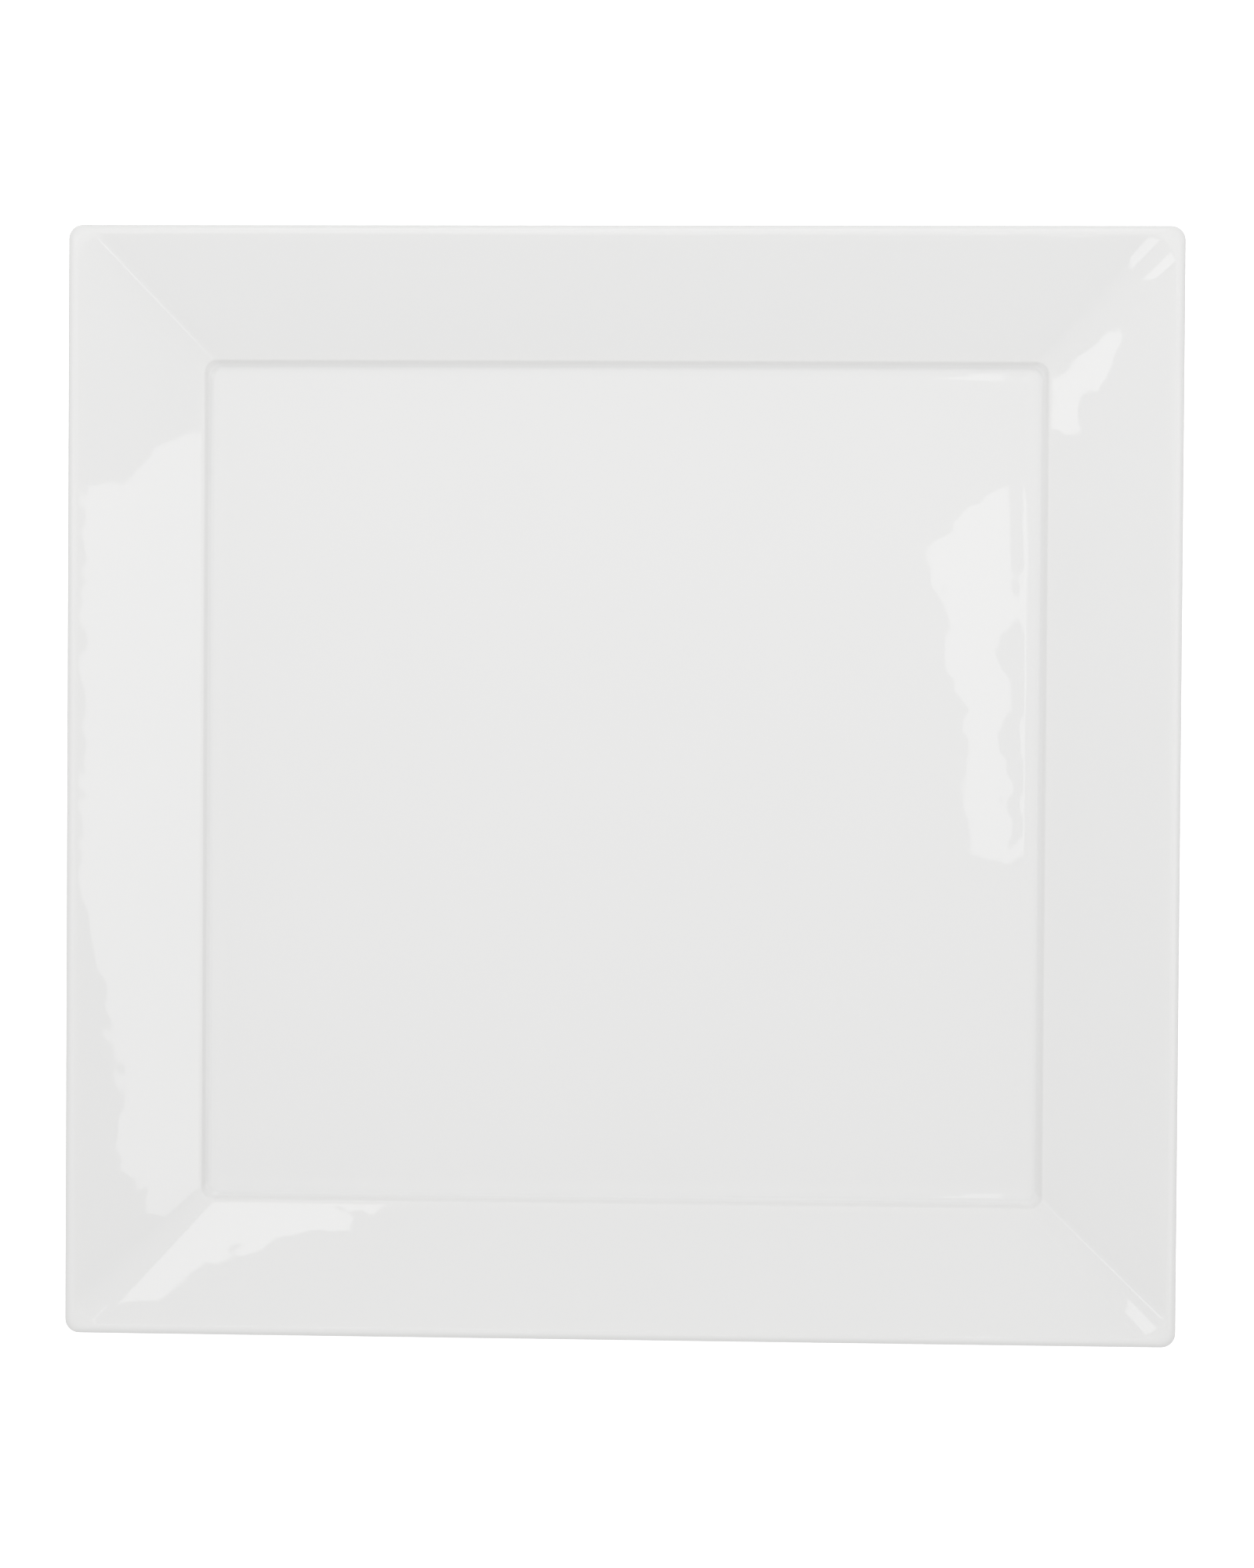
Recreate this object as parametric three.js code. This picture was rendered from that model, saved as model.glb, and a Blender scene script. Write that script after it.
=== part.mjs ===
// Square porcelain serving dish: a flat well, a short step, four sloped mitred rims and a foot ring.
// Units are millimetres, +Z is up, and the origin is on the table under the middle of the dish.

import * as THREE from 'three';

// Overall size, measured over the glaze
const SIDE = 300;
const HEIGHT = 25;

// Glaze coat, and how far above the table it stops on the foot ring
const GLAZE_THICKNESS = 0.3;
const GLAZE_LINE_HEIGHT = 1.1;

// Rim, from the lip to the top of the step
const RIM_WIDTH = 35;
const LIP_THICKNESS = 4.2;
const RIM_ROOT_THICKNESS = 5.6;

// Floor of the well and the step round it
const FLOOR_THICKNESS = 4.2;
const STEP_HEIGHT = 2.1;
const STEP_RUN = 1.9;

// Foot ring, set back from the edge of the well
const FOOT_HEIGHT = 4.8;
const FOOT_SETBACK = 9;
const FOOT_LAND_WIDTH = 3;
const FOOT_WALL_RUN = 1.6;

// Corner radii in plan
const LIP_CORNER_RADIUS = 3.5;
const RIM_CORNER_RADIUS = 7;
const STEP_CORNER_RADIUS = 3.8;
const WELL_CORNER_RADIUS = 3;
const UNDERSIDE_CORNER_RADIUS = 8;
const FOOT_CORNER_RADIUS = 12;

// Fillets of the section
const STEP_EDGE_FILLET = 1.2;
const WELL_FILLET = 2;
const UNDERSIDE_FILLET = 15;
const FOOT_ROOT_FILLET = 1.5;
const FOOT_EDGE_FILLET = 0.6;

// Fineness of the round stretches
const CORNER_STEPS = 6;
const LIP_STEPS = 5;
const FILLET_STEPS = 5;

// Directions in the section
const OUT = 0;
const UP = Math.PI / 2;
const DOWN = -Math.PI / 2;

function direction(angle) {
  return new THREE.Vector2(Math.cos(angle), Math.sin(angle));
}

// The way a face of the section looks, on a path round the section that keeps the porcelain on its left
function facing(from, to) {
  return Math.atan2(from.x - to.x, to.y - from.y);
}

// A station is one point of the section, the way its surface looks, and the middle of its corner arc in plan
function station(point, normal, arcCentre) {
  return { point, normal, arcCentre };
}

// Stations round an arc of the section: a positive radius rounds an edge, a negative one fills a corner
function bend(centre, radius, fromNormal, toNormal, steps, arcCentre) {
  return Array.from({ length: steps + 1 }, (_, step) => {
    const normal = THREE.MathUtils.lerp(fromNormal, toNormal, step / steps);
    return station(direction(normal).multiplyScalar(radius).add(centre), normal, arcCentre);
  });
}

// Stations of the fillet at a corner of the section, which takes at most half of the faces that it joins
function fillet(before, corner, after, radius, arcCentre) {
  const fromNormal = facing(before, corner);
  const toNormal = facing(corner, after);
  const halfTurn = (toNormal - fromNormal) / 2;
  const room = Math.min(before.distanceTo(corner), corner.distanceTo(after)) / 2;
  const signedRadius = Math.sign(halfTurn) * Math.min(radius, room / Math.tan(Math.abs(halfTurn)));
  const toCentre = -signedRadius / Math.cos(halfTurn);
  const centre = corner.clone().addScaledVector(direction(fromNormal + halfTurn), toCentre);
  return bend(centre, signedRadius, fromNormal, toNormal, FILLET_STEPS, arcCentre);
}

// Levels and half widths of the body under its glaze
const bodyHalf = SIDE / 2 - GLAZE_THICKNESS;
const bodyTop = HEIGHT - GLAZE_THICKNESS;
const floorTop = FOOT_HEIGHT + FLOOR_THICKNESS;
const stepHalf = SIDE / 2 - RIM_WIDTH;
const wellHalf = stepHalf - STEP_RUN;
const footHalf = wellHalf - FOOT_SETBACK;
const landInnerHalf = footHalf - FOOT_LAND_WIDTH;

// Corners of the section, from the middle of the underside round to the middle of the well
const undersideMiddle = new THREE.Vector2(0, FOOT_HEIGHT);
const footInnerRoot = new THREE.Vector2(landInnerHalf - FOOT_WALL_RUN, FOOT_HEIGHT);
const footInnerEdge = new THREE.Vector2(landInnerHalf, 0);
const footOuterEdge = new THREE.Vector2(footHalf, 0);
const footOuterRoot = new THREE.Vector2(footHalf + FOOT_WALL_RUN, FOOT_HEIGHT);
const stepTop = new THREE.Vector2(stepHalf, floorTop + STEP_HEIGHT);
const wellEdge = new THREE.Vector2(wellHalf, floorTop);
const wellMiddle = new THREE.Vector2(0, floorTop);

// The rim's two faces touch the round of the lip, and the lower one passes the step at the root thickness
const lipRadius = LIP_THICKNESS / 2 - GLAZE_THICKNESS;
const lipCentre = new THREE.Vector2(bodyHalf - lipRadius, bodyTop - lipRadius);
const toLip = lipCentre.clone().sub(stepTop);
const rimSlope = toLip.angle() + Math.asin(lipRadius / toLip.length());
const undersideSlope = toLip.angle() + Math.asin((RIM_ROOT_THICKNESS - lipRadius) / toLip.length());
const rimFace = rimSlope + UP;
const undersideFace = undersideSlope + DOWN;
const lipTop = lipCentre.clone().addScaledVector(direction(rimFace), lipRadius);
const lipUnderside = lipCentre.clone().addScaledVector(direction(undersideFace), lipRadius);
const kneeHalf = lipUnderside.x - (lipUnderside.y - FOOT_HEIGHT) / Math.tan(undersideSlope);
const knee = new THREE.Vector2(kneeHalf, FOOT_HEIGHT);

// Middles of the corner arcs: outlines that share a middle stay parallel round the corner
const stepArc = stepHalf - STEP_CORNER_RADIUS;
const wellArc = wellHalf - WELL_CORNER_RADIUS;
const undersideArc = kneeHalf - UNDERSIDE_CORNER_RADIUS;
const footArc = footHalf - FOOT_CORNER_RADIUS;

// The place on a wall of the foot ring where the glaze stops
function glazeLine(from, to) {
  const share = (GLAZE_LINE_HEIGHT - from.y) / (to.y - from.y);
  return station(from.clone().lerp(to, share), facing(from, to), footArc);
}

// Up to its crest the lip turns the corners of the dish on one radius, which then widens to that of the rim
function lipCornerRadius(normal) {
  const pastCrest = Math.max(normal - UP, 0) / (rimFace - UP);
  return THREE.MathUtils.lerp(LIP_CORNER_RADIUS, RIM_CORNER_RADIUS, pastCrest);
}

// The round of the lip, in three bends so that its widest and its highest points are stations
const lip = [
  ...bend(lipCentre, lipRadius, undersideFace, OUT, LIP_STEPS),
  ...bend(lipCentre, lipRadius, OUT, UP, LIP_STEPS).slice(1),
  ...bend(lipCentre, lipRadius, UP, rimFace, LIP_STEPS).slice(1),
].map(({ point, normal }) => station(point, normal, point.x - lipCornerRadius(normal)));

// The section of the body in three stretches: under the base glaze, bare, and under the upper glaze
const baseStretch = [
  ...fillet(undersideMiddle, footInnerRoot, footInnerEdge, FOOT_ROOT_FILLET, footArc),
  glazeLine(footInnerRoot, footInnerEdge),
];
const bareStretch = [
  ...fillet(footInnerRoot, footInnerEdge, footOuterEdge, FOOT_EDGE_FILLET, footArc),
  ...fillet(footInnerEdge, footOuterEdge, footOuterRoot, FOOT_EDGE_FILLET, footArc),
];
const upperStretch = [
  glazeLine(footOuterEdge, footOuterRoot),
  ...fillet(footOuterEdge, footOuterRoot, knee, FOOT_ROOT_FILLET, footArc),
  ...fillet(footOuterRoot, knee, lipUnderside, UNDERSIDE_FILLET, undersideArc),
  ...lip,
  ...fillet(lipTop, stepTop, wellEdge, STEP_EDGE_FILLET, stepArc),
  ...fillet(stepTop, wellEdge, wellMiddle, WELL_FILLET, wellArc),
];

// The outer face of the glaze over a stretch of the body
function glazed(stretch) {
  return stretch.map(({ point, normal, arcCentre }) =>
    station(point.clone().addScaledVector(direction(normal), GLAZE_THICKNESS), normal, arcCentre));
}

// The square outline with round corners that a station draws round the dish
function outline({ point, arcCentre }) {
  const radius = point.x - arcCentre;
  const points = [];
  for (let quarter = 0; quarter < 4; quarter += 1) {
    const middle = direction((quarter + 0.5) * UP).multiplyScalar(arcCentre * Math.SQRT2);
    for (let step = 0; step <= CORNER_STEPS; step += 1) {
      const onArc = direction((quarter + step / CORNER_STEPS) * UP).multiplyScalar(radius).add(middle);
      points.push(new THREE.Vector3(onArc.x, onArc.y, point.y));
    }
  }
  return points;
}

// The two triangles of a face, split along its shorter diagonal, so that solids that share it split it alike
function splitFace(vertices, a, b, c, d) {
  if (vertices[a].distanceTo(vertices[c]) < vertices[b].distanceTo(vertices[d])) {
    return [a, b, c, a, c, d];
  }
  return [a, b, d, b, c, d];
}

// A closed solid lofted through the outlines of its stations, with a flat face over the first and the last
function loft(stations) {
  const outlines = stations.map(outline);
  const vertices = outlines.flat();
  const size = outlines[0].length;
  const lastRing = vertices.length - size;
  const firstMiddle = vertices.push(new THREE.Vector3(0, 0, vertices[0].z)) - 1;
  const lastMiddle = vertices.push(new THREE.Vector3(0, 0, vertices[lastRing].z)) - 1;
  const triangles = [];
  for (let side = 0; side < size; side += 1) {
    const next = (side + 1) % size;
    for (let ring = 0; ring < lastRing; ring += size) {
      const above = ring + size;
      triangles.push(...splitFace(vertices, ring + side, ring + next, above + next, above + side));
    }
    triangles.push(firstMiddle, next, side);
    triangles.push(lastMiddle, lastRing + side, lastRing + next);
  }
  const geometry = new THREE.BufferGeometry().setFromPoints(vertices);
  geometry.setIndex(triangles);
  geometry.computeVertexNormals();
  return geometry;
}

function piece(name, stations, material) {
  const mesh = new THREE.Mesh(loft(stations), material);
  mesh.name = name;
  return mesh;
}

// Bare porcelain is matt and a little warm, and the glaze over it is a glossy white
const porcelain = new THREE.MeshStandardMaterial({ color: 0xe9e5dc, roughness: 0.75, metalness: 0 });
const glaze = new THREE.MeshStandardMaterial({ color: 0xf1f1ee, roughness: 0.08, metalness: 0 });

const dish = new THREE.Group();
dish.add(
  piece('porcelain_body', [...baseStretch, ...bareStretch, ...upperStretch], porcelain),
  piece('upper_glaze', [...upperStretch.toReversed(), ...glazed(upperStretch)], glaze),
  piece('base_glaze', [...glazed(baseStretch), ...baseStretch.toReversed()], glaze),
);

export default dish;
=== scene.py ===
import math
from collections import namedtuple

import bpy
from mathutils import Matrix, Vector, noise


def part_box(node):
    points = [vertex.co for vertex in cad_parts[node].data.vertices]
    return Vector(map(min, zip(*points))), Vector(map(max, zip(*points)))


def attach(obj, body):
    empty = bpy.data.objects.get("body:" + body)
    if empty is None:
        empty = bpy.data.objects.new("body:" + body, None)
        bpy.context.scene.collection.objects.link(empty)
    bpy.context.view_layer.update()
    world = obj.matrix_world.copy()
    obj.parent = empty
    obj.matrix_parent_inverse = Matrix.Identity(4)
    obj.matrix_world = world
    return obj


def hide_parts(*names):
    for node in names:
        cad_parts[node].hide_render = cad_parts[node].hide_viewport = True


# Square porcelain serving dish: the glazed and bare surfaces at full fineness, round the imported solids.
# Units are metres, +Z is up, and the origin is on the table under the middle of the dish.
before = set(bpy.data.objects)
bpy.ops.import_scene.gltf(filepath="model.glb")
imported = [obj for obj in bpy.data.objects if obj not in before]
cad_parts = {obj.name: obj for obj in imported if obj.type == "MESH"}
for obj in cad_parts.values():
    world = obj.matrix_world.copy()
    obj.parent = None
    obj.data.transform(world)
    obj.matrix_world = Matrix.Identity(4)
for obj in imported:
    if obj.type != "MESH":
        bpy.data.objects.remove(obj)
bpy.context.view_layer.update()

MM = 0.001

# Overall sizes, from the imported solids
HALF_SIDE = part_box("upper_glaze")[1].x
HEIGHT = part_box("upper_glaze")[1].z

# Glaze coat, and how far above the table it stops on the foot ring
GLAZE_THICKNESS = 0.3 * MM
GLAZE_LINE_HEIGHT = 1.1 * MM
GLAZE_BEAD_LENGTH = 0.5 * MM

# Rim, from the lip to the top of the step
RIM_WIDTH = 35 * MM
LIP_THICKNESS = 4.2 * MM
RIM_ROOT_THICKNESS = 5.6 * MM

# Floor of the well and the step round it
FLOOR_THICKNESS = 4.2 * MM
STEP_HEIGHT = 2.1 * MM
STEP_RUN = 1.9 * MM

# Foot ring, set back from the edge of the well
FOOT_HEIGHT = 4.8 * MM
FOOT_SETBACK = 9 * MM
FOOT_LAND_WIDTH = 3 * MM
FOOT_WALL_RUN = 1.6 * MM

# Corner radii in plan
LIP_CORNER_RADIUS = 3.5 * MM
RIM_CORNER_RADIUS = 7 * MM
STEP_CORNER_RADIUS = 3.8 * MM
WELL_CORNER_RADIUS = 3 * MM
UNDERSIDE_CORNER_RADIUS = 8 * MM
FOOT_CORNER_RADIUS = 12 * MM

# Fillets of the section
STEP_EDGE_FILLET = 1.2 * MM
WELL_FILLET = 2 * MM
UNDERSIDE_FILLET = 15 * MM
FOOT_ROOT_FILLET = 1.5 * MM
FOOT_EDGE_FILLET = 0.6 * MM

# Fineness of the surfaces
CORNER_STEPS = 8
SIDE_STEPS = 96
BEND_STEPS = 9
BEAD_STEPS = 5
FLAT_STEPS = 12
FLOOR_STEPS = 26
SHORTEST_FLAT = 1.2 * MM
CREASE_ANGLE = math.radians(45)

# Waviness of the fired surface: length and height of the long swells and of the short ripples
SWELL_LENGTH = 45 * MM
SWELL_HEIGHT = 0.012 * MM
RIPPLE_LENGTH = 16 * MM
RIPPLE_HEIGHT = 0.004 * MM

# How far melted glaze runs from edges into hollows, and how high it stands in a hollow of that radius
GLAZE_RUN = 1.3 * MM
GLAZE_POOL = 0.5 * MM

# The photograph's camera: frame in pixels, lens and film size in millimetres, place, target and roll
FRAME_WIDTH = 1600
FRAME_HEIGHT = 2000
LENS = 85
FILM_SIZE = 36
CAMERA_PLACE = Vector((0.0444, 0.0201, 1.0182))
CAMERA_TARGET = Vector((0.0018, 0.0001, 0.0229))
CAMERA_ROLL = math.radians(0.38)

# Directions in the section
OUT = 0
UP = math.pi / 2
DOWN = -math.pi / 2
QUARTER_TURN = math.pi / 2

# A point of the section, the way its surface looks, how sharply it bends, and the middle of its corner arc
Station = namedtuple("Station", "point normal bend arc")


def direction(angle):
    return Vector((math.cos(angle), math.sin(angle)))


def facing(start, end):
    """The way a face of the section looks, on a path that keeps the porcelain on its left."""
    return math.atan2(start.x - end.x, end.y - start.y)


def blend(first, last, share):
    return first + (last - first) * share


def bend(centre, radius, from_normal, to_normal, arc=0):
    """Stations round an arc: a positive radius rounds an edge, a negative one fills a corner."""
    stations = []
    for step in range(BEND_STEPS + 1):
        normal = blend(from_normal, to_normal, step / BEND_STEPS)
        stations.append(Station(centre + radius * direction(normal), normal, 1 / radius, arc))
    return stations


def fillet(before, corner, after, radius, arc):
    """Stations of the fillet at a corner of the section."""
    from_normal = facing(before, corner)
    to_normal = facing(corner, after)
    half_turn = (to_normal - from_normal) / 2
    signed_radius = math.copysign(radius, half_turn)
    to_centre = -signed_radius / math.cos(half_turn)
    centre = corner + to_centre * direction(from_normal + half_turn)
    return bend(centre, signed_radius, from_normal, to_normal, arc)


def flat(first, last, shares):
    """Stations on the flat from one station to another."""
    stations = []
    for share in shares:
        point = blend(first.point, last.point, share)
        stations.append(Station(point, first.normal, 0, blend(first.arc, last.arc, share)))
    return stations


def with_flats(stations):
    """The same stations with more of them on the long flats, close together near both ends of a flat."""
    shares = [(1 - math.cos(math.pi * step / FLAT_STEPS)) / 2 for step in range(1, FLAT_STEPS)]
    filled = [stations[0]]
    for last in stations[1:]:
        if (last.point - filled[-1].point).length > SHORTEST_FLAT:
            filled += flat(filled[-1], last, shares)
        filled.append(last)
    return filled


def towards_middle(edge):
    """Stations on a level floor from its edge to its middle, close together near the edge."""
    shares = [1 - math.cos(QUARTER_TURN * step / FLOOR_STEPS) for step in range(1, FLOOR_STEPS)]
    middle = Station(Vector((0, edge.point.y)), edge.normal, 0, 0)
    return flat(edge, middle, shares)


class Section:
    """The section of the dish, from the middle of the underside round to the middle of the well."""

    def __init__(self):
        floor_top = FOOT_HEIGHT + FLOOR_THICKNESS
        step_half = HALF_SIDE - RIM_WIDTH
        well_half = step_half - STEP_RUN
        foot_half = well_half - FOOT_SETBACK
        land_inner_half = foot_half - FOOT_LAND_WIDTH

        underside_middle = Vector((0, FOOT_HEIGHT))
        foot_inner_root = Vector((land_inner_half - FOOT_WALL_RUN, FOOT_HEIGHT))
        foot_inner_edge = Vector((land_inner_half, 0))
        foot_outer_edge = Vector((foot_half, 0))
        foot_outer_root = Vector((foot_half + FOOT_WALL_RUN, FOOT_HEIGHT))
        step_top = Vector((step_half, floor_top + STEP_HEIGHT))
        well_edge = Vector((well_half, floor_top))
        well_middle = Vector((0, floor_top))

        # Both faces of the rim touch the round of the lip, and at the step they lie a root thickness apart
        lip_radius = LIP_THICKNESS / 2 - GLAZE_THICKNESS
        lip_inset = GLAZE_THICKNESS + lip_radius
        lip_centre = Vector((HALF_SIDE - lip_inset, HEIGHT - lip_inset))
        to_lip = lip_centre - step_top
        lip_angle = math.atan2(to_lip.y, to_lip.x)
        rim_slope = lip_angle + math.asin(lip_radius / to_lip.length)
        underside_slope = lip_angle + math.asin((RIM_ROOT_THICKNESS - lip_radius) / to_lip.length)
        rim_face = rim_slope + UP
        underside_face = underside_slope + DOWN
        lip_top = lip_centre + lip_radius * direction(rim_face)
        lip_underside = lip_centre + lip_radius * direction(underside_face)
        knee_half = lip_underside.x - (lip_underside.y - FOOT_HEIGHT) / math.tan(underside_slope)
        knee = Vector((knee_half, FOOT_HEIGHT))

        # Middles of the corner arcs
        step_arc = step_half - STEP_CORNER_RADIUS
        well_arc = well_half - WELL_CORNER_RADIUS
        underside_arc = knee_half - UNDERSIDE_CORNER_RADIUS
        foot_arc = foot_half - FOOT_CORNER_RADIUS

        def lip_corner(normal):
            past_crest = max(normal - UP, 0) / (rim_face - UP)
            return blend(LIP_CORNER_RADIUS, RIM_CORNER_RADIUS, past_crest)

        def glaze_line(start, end):
            share = (GLAZE_LINE_HEIGHT - start.y) / (end.y - start.y)
            return Station(blend(start, end, share), facing(start, end), 0, foot_arc)

        lip = [
            *bend(lip_centre, lip_radius, underside_face, OUT),
            *bend(lip_centre, lip_radius, OUT, UP)[1:],
            *bend(lip_centre, lip_radius, UP, rim_face)[1:],
        ]
        lip = [station._replace(arc=station.point.x - lip_corner(station.normal)) for station in lip]
        self.base = [
            *fillet(underside_middle, foot_inner_root, foot_inner_edge, FOOT_ROOT_FILLET, foot_arc),
            glaze_line(foot_inner_root, foot_inner_edge),
        ]
        self.bare = [
            *fillet(foot_inner_root, foot_inner_edge, foot_outer_edge, FOOT_EDGE_FILLET, foot_arc),
            *fillet(foot_inner_edge, foot_outer_edge, foot_outer_root, FOOT_EDGE_FILLET, foot_arc),
        ]
        self.upper = [
            glaze_line(foot_outer_edge, foot_outer_root),
            *fillet(foot_outer_edge, foot_outer_root, knee, FOOT_ROOT_FILLET, foot_arc),
            *fillet(foot_outer_root, knee, lip_underside, UNDERSIDE_FILLET, underside_arc),
            *lip,
            *fillet(lip_top, step_top, well_edge, STEP_EDGE_FILLET, step_arc),
            *fillet(step_top, well_edge, well_middle, WELL_FILLET, well_arc),
        ]
        self.rim_normal = rim_face
        self.rim_point = lip_top + GLAZE_THICKNESS * direction(rim_face)
        self.floor_point = well_middle + GLAZE_THICKNESS * direction(UP)


def raised(station, along, height):
    """A station moved along its face and off it."""
    outward = direction(station.normal)
    onward = direction(station.normal + QUARTER_TURN)
    return station._replace(point=station.point + along * onward + height * outward)


def bead(line, side):
    """The round end of a glaze coat on the foot ring: side is 1 where the coat starts, -1 where it ends."""
    stations = []
    for step in range(BEAD_STEPS):
        angle = QUARTER_TURN * step / BEAD_STEPS
        along = side * GLAZE_BEAD_LENGTH * (1 - math.cos(angle))
        stations.append(raised(line, along, GLAZE_THICKNESS * math.sin(angle)))
    return stations[::side]


def glazed(stations):
    """The outer face of the glaze over a stretch of the body."""
    return [raised(station, 0, GLAZE_THICKNESS) for station in stations]


def outline(station):
    """The square outline with round corners that a station draws round the dish."""
    radius = station.point.x - station.arc
    quarter = []
    for step in range(CORNER_STEPS + 1):
        corner = radius * direction(QUARTER_TURN * step / CORNER_STEPS)
        quarter.append(corner + Vector((station.arc, station.arc)))
    for step in range(1, SIDE_STEPS):
        quarter.append(Vector((station.arc * math.cos(math.pi * step / SIDE_STEPS), station.point.x)))
    points = []
    for turn in range(4):
        turned = Matrix.Rotation(turn * QUARTER_TURN, 2)
        points += [turned @ point for point in quarter]
    return points


def waviness(place, height):
    """How far the fired surface lies under its true shape: nothing at the table, in full above the foot."""
    swell = noise.noise(Vector((*place, 0)) / SWELL_LENGTH)
    ripple = noise.noise(Vector((*place, SWELL_LENGTH)) / RIPPLE_LENGTH)
    share = min(height / FOOT_HEIGHT, 1)
    return share * (SWELL_HEIGHT * (1 - swell) + RIPPLE_HEIGHT * (1 - ripple))


def glaze_depth(stations):
    """How much glaze has run to each station: negative on round edges, positive in hollows."""
    ends = [stations[0], *stations, stations[-1]]
    reach = [(after.point - before.point).length / 2 for before, after in zip(ends, ends[2:])]
    depths = []
    for station in stations:
        weights = []
        for other, length in zip(stations, reach):
            distance = (other.point - station.point).length
            weights.append(length * math.exp(-((distance / GLAZE_RUN) ** 2)))
        bends = sum(weight * other.bend for weight, other in zip(weights, stations))
        depths.append(-GLAZE_RUN * bends / sum(weights))
    return depths


def with_pools(stations):
    """The face of a glaze coat with melted glaze standing in its hollows."""
    depths = glaze_depth(stations)
    return [raised(station, 0, GLAZE_POOL * max(depth, 0)) for station, depth in zip(stations, depths)]


def loft(name, stations):
    """A closed piece lofted through the outlines of its stations, with a middle point at each end."""
    size = len(outline(stations[0]))
    vertices = []
    for station in stations:
        height = station.point.y
        for place in outline(station):
            vertices.append((*place, height - waviness(place, height)))
    last_ring = len(vertices) - size
    first_middle = len(vertices)
    for station in (stations[0], stations[-1]):
        height = station.point.y
        vertices.append((0, 0, height - waviness(Vector((0, 0)), height)))
    faces = []
    for side in range(size):
        following = (side + 1) % size
        for ring in range(0, last_ring, size):
            above = ring + size
            faces.append((ring + side, ring + following, above + following, above + side))
        faces.append((first_middle, following, side))
        faces.append((first_middle + 1, last_ring + side, last_ring + following))
    mesh = bpy.data.meshes.new(name)
    mesh.from_pydata(vertices, [], faces)
    mesh.shade_smooth()
    mesh.set_sharp_from_angle(angle=CREASE_ANGLE)
    depths = glaze_depth(stations)
    per_vertex = [depth for depth in depths for _ in range(size)] + [0, 0]
    mesh.attributes.new("glaze_depth", "FLOAT", "POINT").data.foreach_set("value", per_vertex)
    piece = bpy.data.objects.new(name, mesh)
    bpy.context.collection.objects.link(piece)
    return piece


def add_piece(name, stations, material, node):
    piece = loft(name, stations)
    piece.data.materials.append(material)
    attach(piece, "root")
    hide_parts(node)


# Sockets of the node that mixes colours, by number because several of them share a name
MIX_SHARE = 0
MIX_FIRST = 6
MIX_LAST = 7
MIX_RESULT = 2


class Nodes:
    """Short ways to add and link the nodes of one material or world."""

    def __init__(self, owner):
        owner.use_nodes = True
        self.tree = owner.node_tree
        self.tree.nodes.clear()

    def add(self, kind, inputs=None, **settings):
        """A new node with its settings, and with each input linked or set to a constant."""
        node = self.tree.nodes.new(kind)
        for name, value in settings.items():
            setattr(node, name, value)
        for socket, value in (inputs or {}).items():
            if isinstance(value, bpy.types.NodeSocket):
                self.tree.links.new(value, node.inputs[socket])
            else:
                node.inputs[socket].default_value = value
        return node

    def noise(self, place, wave_length, detail):
        """A smooth noise whose blotches are about one wave length across."""
        settings = {"Vector": place, "Scale": 1 / wave_length, "Detail": detail}
        return self.add("ShaderNodeTexNoise", settings).outputs["Fac"]

    def spread(self, value, low, high):
        """A value from 0 to 1 spread over a range."""
        limits = {"Value": value, "To Min": low, "To Max": high}
        return self.add("ShaderNodeMapRange", limits).outputs["Result"]

    def tint(self, share, first, last):
        """The first colour, turned into the last by a share from 0 to 1."""
        colours = {MIX_SHARE: share, MIX_FIRST: first, MIX_LAST: last}
        return self.add("ShaderNodeMix", colours, data_type="RGBA").outputs[MIX_RESULT]


# Glossy white glaze: a little warmer where it has thinned on an edge, a little cooler where it has pooled
GLAZE_WHITE = (0.861, 0.860, 0.856, 1)
GLAZE_CLOUD = (0.852, 0.852, 0.847, 1)
GLAZE_THIN = (0.865, 0.863, 0.856, 1)
GLAZE_POOLED = (0.851, 0.853, 0.848, 1)
GLAZE_SMOOTH = 0.006
GLAZE_DULL = 0.02
GLAZE_INDEX = 1.5
CLOUD_SIZE = 30 * MM
CLOUD_DETAIL = 2
SHEEN_SIZE = 14 * MM
SHEEN_DETAIL = 3
PEEL_SIZE = 5.5 * MM
PEEL_DETAIL = 0
PEEL_HEIGHT = 0.01 * MM
DEEPEST_RUN = 1.2


def glaze_material():
    material = bpy.data.materials.new("glaze_white")
    nodes = Nodes(material)
    place = nodes.add("ShaderNodeTexCoord").outputs["Object"]
    depth = nodes.add("ShaderNodeAttribute", attribute_name="glaze_depth").outputs["Fac"]
    pooled = nodes.add("ShaderNodeMapRange", {"Value": depth, "From Max": DEEPEST_RUN})
    thinned = nodes.add("ShaderNodeMapRange", {"Value": depth, "From Max": -DEEPEST_RUN})
    colour = nodes.tint(nodes.noise(place, CLOUD_SIZE, CLOUD_DETAIL), GLAZE_WHITE, GLAZE_CLOUD)
    colour = nodes.tint(pooled.outputs["Result"], colour, GLAZE_POOLED)
    colour = nodes.tint(thinned.outputs["Result"], colour, GLAZE_THIN)
    dullness = nodes.spread(nodes.noise(place, SHEEN_SIZE, SHEEN_DETAIL), GLAZE_SMOOTH, GLAZE_DULL)
    peel = nodes.noise(place, PEEL_SIZE, PEEL_DETAIL)
    bump = nodes.add("ShaderNodeBump", {"Height": peel, "Distance": PEEL_HEIGHT})
    shader = nodes.add("ShaderNodeBsdfPrincipled", {
        "Base Color": colour,
        "Roughness": dullness,
        "IOR": GLAZE_INDEX,
        "Normal": bump.outputs["Normal"],
    })
    nodes.add("ShaderNodeOutputMaterial", {"Surface": shader.outputs["BSDF"]})
    return material


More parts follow.
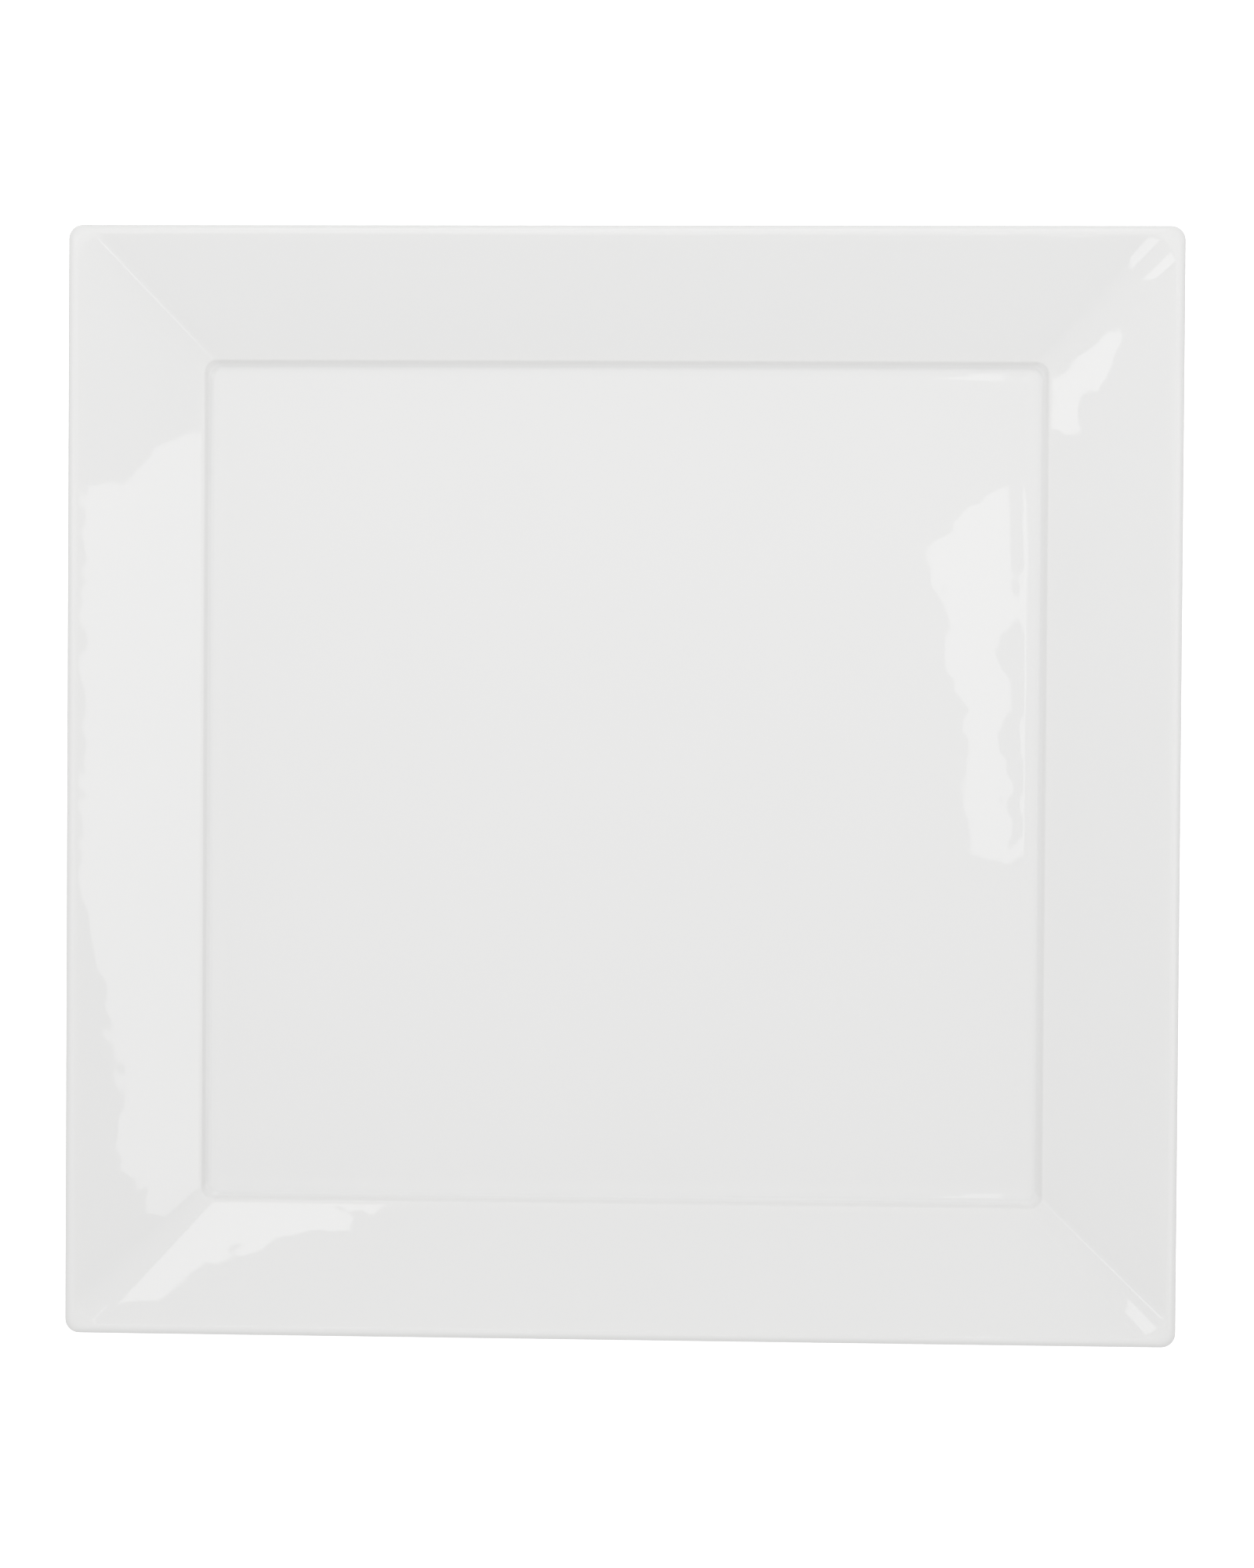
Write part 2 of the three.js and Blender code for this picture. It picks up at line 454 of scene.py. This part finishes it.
# Bare fired porcelain on the foot ring: matt, warm, finely grained and rubbed grey in places
BISQUE_PALE = (0.80, 0.77, 0.71, 1)
BISQUE_WARM = (0.74, 0.69, 0.61, 1)
BISQUE_RUBBED = (0.56, 0.55, 0.53, 1)
BISQUE_SMOOTH = 0.6
BISQUE_ROUGH = 0.85
GRAIN_SIZE = 0.25 * MM
GRAIN_DETAIL = 2
GRAIN_HEIGHT = 0.02 * MM
STAIN_SIZE = 9 * MM
STAIN_DETAIL = 3
RUB_SIZE = 2.5 * MM
RUB_DETAIL = 4
RUB_START = 0.62
RUB_FULL = 0.9


def bisque_material():
    material = bpy.data.materials.new("porcelain_bare")
    nodes = Nodes(material)
    place = nodes.add("ShaderNodeTexCoord").outputs["Object"]
    grain = nodes.noise(place, GRAIN_SIZE, GRAIN_DETAIL)
    rub = nodes.add("ShaderNodeMapRange", {
        "Value": nodes.noise(place, RUB_SIZE, RUB_DETAIL),
        "From Min": RUB_START,
        "From Max": RUB_FULL,
    })
    colour = nodes.tint(nodes.noise(place, STAIN_SIZE, STAIN_DETAIL), BISQUE_PALE, BISQUE_WARM)
    colour = nodes.tint(rub.outputs["Result"], colour, BISQUE_RUBBED)
    bump = nodes.add("ShaderNodeBump", {"Height": grain, "Distance": GRAIN_HEIGHT})
    shader = nodes.add("ShaderNodeBsdfPrincipled", {
        "Base Color": colour,
        "Roughness": nodes.spread(grain, BISQUE_SMOOTH, BISQUE_ROUGH),
        "Normal": bump.outputs["Normal"],
    })
    nodes.add("ShaderNodeOutputMaterial", {"Surface": shader.outputs["BSDF"]})
    return material


def add_dish(section):
    glaze = glaze_material()
    base_line = section.base[-1]
    upper_line = section.upper[0]
    upper_face = with_flats([*bead(upper_line, 1), *glazed(section.upper[1:])])
    upper_face += towards_middle(upper_face[-1])
    upper_back = section.upper[::-1]
    base_edge = glazed(section.base[:1])[0]
    base_face = towards_middle(base_edge)[::-1]
    base_face += with_flats([*glazed(section.base[:-1]), *bead(base_line, -1)])
    base_back = section.base[::-1]
    body = [*section.base, *with_flats([base_line, *section.bare, upper_line])[1:], *section.upper[1:]]
    add_piece("glaze_over_dish", upper_back + with_pools(upper_face), glaze, "upper_glaze")
    add_piece("glaze_in_recess", with_pools(base_face) + base_back, glaze, "base_glaze")
    add_piece("bare_foot_body", body, bisque_material(), "porcelain_body")


def add_camera():
    look = (CAMERA_TARGET - CAMERA_PLACE).normalized()
    right = look.cross(Vector((0, 1, 0))).normalized()
    level = Matrix((right, right.cross(look), -look)).transposed()
    rolled = level @ Matrix.Rotation(CAMERA_ROLL, 3, "Z")
    data = bpy.data.cameras.new("camera")
    data.lens = LENS
    data.sensor_width = FILM_SIZE
    camera = bpy.data.objects.new("camera", data)
    camera.matrix_world = Matrix.Translation(CAMERA_PLACE) @ rolled.to_4x4()
    bpy.context.collection.objects.link(camera)
    bpy.context.scene.camera = camera
    return camera.matrix_world.copy()


# Floor: white to the camera, a pale grey to the light
FLOOR_RADIUS = 9
FLOOR_SIDES = 96
FLOOR_GREY = (0.88, 0.88, 0.88, 1)
FLOOR_GLOW = 0.5


def add_floor():
    ring = [FLOOR_RADIUS * direction(2 * math.pi * step / FLOOR_SIDES) for step in range(FLOOR_SIDES)]
    mesh = bpy.data.meshes.new("floor")
    mesh.from_pydata([(*point, 0) for point in ring], [], [range(FLOOR_SIDES)])
    floor = bpy.data.objects.new("floor", mesh)
    bpy.context.collection.objects.link(floor)
    material = bpy.data.materials.new("floor")
    nodes = Nodes(material)
    matt = nodes.add("ShaderNodeBsdfDiffuse", {"Color": FLOOR_GREY})
    seen = nodes.add("ShaderNodeLightPath").outputs["Is Camera Ray"]
    strength = nodes.spread(seen, 0, FLOOR_GLOW)
    glow = nodes.add("ShaderNodeEmission", {"Strength": strength})
    both = nodes.add("ShaderNodeAddShader", {0: matt.outputs["BSDF"], 1: glow.outputs["Emission"]})
    nodes.add("ShaderNodeOutputMaterial", {"Surface": both.outputs["Shader"]})
    mesh.materials.append(material)


# Soft light: a pale room that dims towards its horizon, and one wide lamp beyond the far rim
ROOM_LOW = 0.68
ROOM_HIGH = 1.01
ROOM_RISE = 0.6
ROOM_SEEN = 1.25
LAMP_PLACE = Vector((0, 0.36, 0.9))
LAMP_WIDTH = 1.0
LAMP_DEPTH = 0.22
LAMP_POWER = 2.16


def add_light():
    world = bpy.data.worlds.new("room")
    bpy.context.scene.world = world
    nodes = Nodes(world)
    look = nodes.add("ShaderNodeTexCoord").outputs["Generated"]
    rise = nodes.add("ShaderNodeSeparateXYZ", {"Vector": look}).outputs["Z"]
    strength = nodes.add("ShaderNodeMapRange", {
        "Value": rise,
        "From Max": ROOM_RISE,
        "To Min": ROOM_LOW,
        "To Max": ROOM_HIGH,
    })
    seen = nodes.add("ShaderNodeLightPath").outputs["Is Camera Ray"]
    shown = nodes.spread(seen, strength.outputs["Result"], ROOM_SEEN)
    room = nodes.add("ShaderNodeBackground", {"Strength": shown})
    nodes.add("ShaderNodeOutputWorld", {"Surface": room.outputs["Background"]})
    data = bpy.data.lights.new("lamp", "AREA")
    data.shape = "RECTANGLE"
    data.size = LAMP_WIDTH
    data.size_y = LAMP_DEPTH
    data.energy = LAMP_POWER
    lamp = bpy.data.objects.new("lamp", data)
    lamp.location = LAMP_PLACE
    lamp.visible_glossy = False
    bpy.context.collection.objects.link(lamp)


# Highlights in the photograph, as outlines in its pixels, and the quarter turn of the rim that each lies on
RIGHT, TOP, LEFT, BOTTOM = range(4)
LEFT_SHEEN = (
    (104, 622), (180, 605), (200, 578), (262, 545), (275, 1515), (226, 1546), (184, 1556),
    (178, 1500), (150, 1488), (155, 1400), (119, 1190), (104, 1150),
)
BOTTOM_SHEEN = (
    (140, 1668), (262, 1520), (520, 1536), (432, 1548), (455, 1563),
    (400, 1576), (300, 1596), (284, 1613), (266, 1607), (205, 1650),
)
RIGHT_SHEEN = (
    (1335, 478), (1364, 470), (1404, 430), (1424, 412), (1428, 430),
    (1404, 486), (1400, 502), (1384, 505), (1370, 548), (1335, 550),
)
WELL_SHEEN = (
    (1288, 618), (1238, 648), (1180, 704), (1206, 765), (1212, 885), (1232, 905), (1234, 1095),
    (1292, 1095), (1284, 985), (1284, 862), (1273, 820), (1304, 770), (1287, 735),
)

# Streaks in the round valleys between two rims: both ends, the rims, and the reach from one to the other
CORNER_STREAKS = (
    ((1450, 1674), (1560, 1784), BOTTOM, RIGHT, 0.24, 0.5),
    ((1450, 328), (1560, 218), TOP, RIGHT, 0.03, 0.33),
    ((1478, 346), (1590, 234), TOP, RIGHT, 0.66, 0.92),
)

# Light cards over the dish, which the glaze mirrors as these highlights: their level and how bright they are
CARD_HEIGHT = 2.4
FULL_GLOW = 2.3
MILD_GLOW = 1.95

# Two upright light cards behind the dish, one on top of the other
BACK_DISTANCE = 1.0
BACK_HALF_WIDTH = 0.3
BACK_LOW = 0.02
BACK_MIDDLE = 0.55
BACK_HIGH = 1.1
BACK_LOWER_GLOW = 0.9
BACK_UPPER_GLOW = 1.6

# A level light card at the right of the dish
SIDE_NEAR = 0.33
SIDE_FAR = 1.4
SIDE_FRONT = -0.25
SIDE_BACK = 0.17
SIDE_HEIGHT = 0.6
SIDE_GLOW = 1.25


def mirrored(pixel, viewpoint, point, normal):
    """Where the camera's ray through a pixel reaches the level of the light cards, after a mirror face."""
    lens_in_pixels = FRAME_HEIGHT * LENS / FILM_SIZE
    across = (pixel[0] - FRAME_WIDTH / 2) / lens_in_pixels
    down = (pixel[1] - FRAME_HEIGHT / 2) / lens_in_pixels
    eye = viewpoint.translation
    ray = viewpoint.to_3x3() @ Vector((across, -down, -1))
    hit = eye + ray * ((point - eye).dot(normal) / ray.dot(normal))
    bounce = ray.reflect(normal)
    return hit + bounce * ((CARD_HEIGHT - hit.z) / bounce.z)


def card_material(name, strength):
    material = bpy.data.materials.new(name)
    nodes = Nodes(material)
    glow = nodes.add("ShaderNodeEmission", {"Strength": strength})
    nodes.add("ShaderNodeOutputMaterial", {"Surface": glow.outputs["Emission"]})
    return material


def add_card(name, corners, glow):
    mesh = bpy.data.meshes.new(name)
    mesh.from_pydata(corners, [], [range(len(corners))])
    mesh.materials.append(card_material(name, glow))
    card = bpy.data.objects.new(name, mesh)
    card.visible_camera = False
    card.visible_diffuse = False
    card.visible_shadow = False
    bpy.context.collection.objects.link(card)


def rim_mirror(section, side):
    """A point on the face of a rim, and the way that face looks."""
    turn = Matrix.Rotation(side * QUARTER_TURN, 3, "Z")
    normal = direction(section.rim_normal)
    point = Vector((section.rim_point.x, 0, section.rim_point.y))
    return turn @ point, turn @ Vector((normal.x, 0, normal.y))


def add_corner_card(name, section, viewpoint, inner, outer, first, second, low, high):
    """A card that the round valley between two rims mirrors."""
    corners = []
    for pixel, share in ((inner, low), (inner, high), (outer, high), (outer, low)):
        ends = [mirrored(pixel, viewpoint, *rim_mirror(section, side)) for side in (first, second)]
        corners.append(blend(*ends, share))
    add_card(name, corners, FULL_GLOW)


def add_cards(section, viewpoint):
    rims = (
        ("left_card", LEFT_SHEEN, MILD_GLOW, LEFT),
        ("bottom_card", BOTTOM_SHEEN, FULL_GLOW, BOTTOM),
        ("right_card", RIGHT_SHEEN, FULL_GLOW, RIGHT),
    )
    for name, pixels, glow, side in rims:
        point, normal = rim_mirror(section, side)
        add_card(name, [mirrored(pixel, viewpoint, point, normal) for pixel in pixels], glow)
    for number, streak in enumerate(CORNER_STREAKS):
        add_corner_card(f"corner_card_{number}", section, viewpoint, *streak)
    floor = Vector((0, 0, section.floor_point.y))
    well_corners = [mirrored(pixel, viewpoint, floor, Vector((0, 0, 1))) for pixel in WELL_SHEEN]
    add_card("well_card", well_corners, MILD_GLOW)
    backs = (
        ("back_card_low", BACK_LOW, BACK_MIDDLE, BACK_LOWER_GLOW),
        ("back_card_high", BACK_MIDDLE, BACK_HIGH, BACK_UPPER_GLOW),
    )
    for name, low, high, glow in backs:
        back_corners = [
            (-BACK_HALF_WIDTH, BACK_DISTANCE, low),
            (BACK_HALF_WIDTH, BACK_DISTANCE, low),
            (BACK_HALF_WIDTH, BACK_DISTANCE, high),
            (-BACK_HALF_WIDTH, BACK_DISTANCE, high),
        ]
        add_card(name, back_corners, glow)
    side_corners = [
        (SIDE_NEAR, SIDE_FRONT, SIDE_HEIGHT),
        (SIDE_FAR, SIDE_FRONT, SIDE_HEIGHT),
        (SIDE_FAR, SIDE_BACK, SIDE_HEIGHT),
        (SIDE_NEAR, SIDE_BACK, SIDE_HEIGHT),
    ]
    add_card("side_card", side_corners, SIDE_GLOW)


section = Section()
add_dish(section)
viewpoint = add_camera()
add_floor()
add_light()
add_cards(section, viewpoint)
bpy.context.scene.view_settings.view_transform = "Standard"
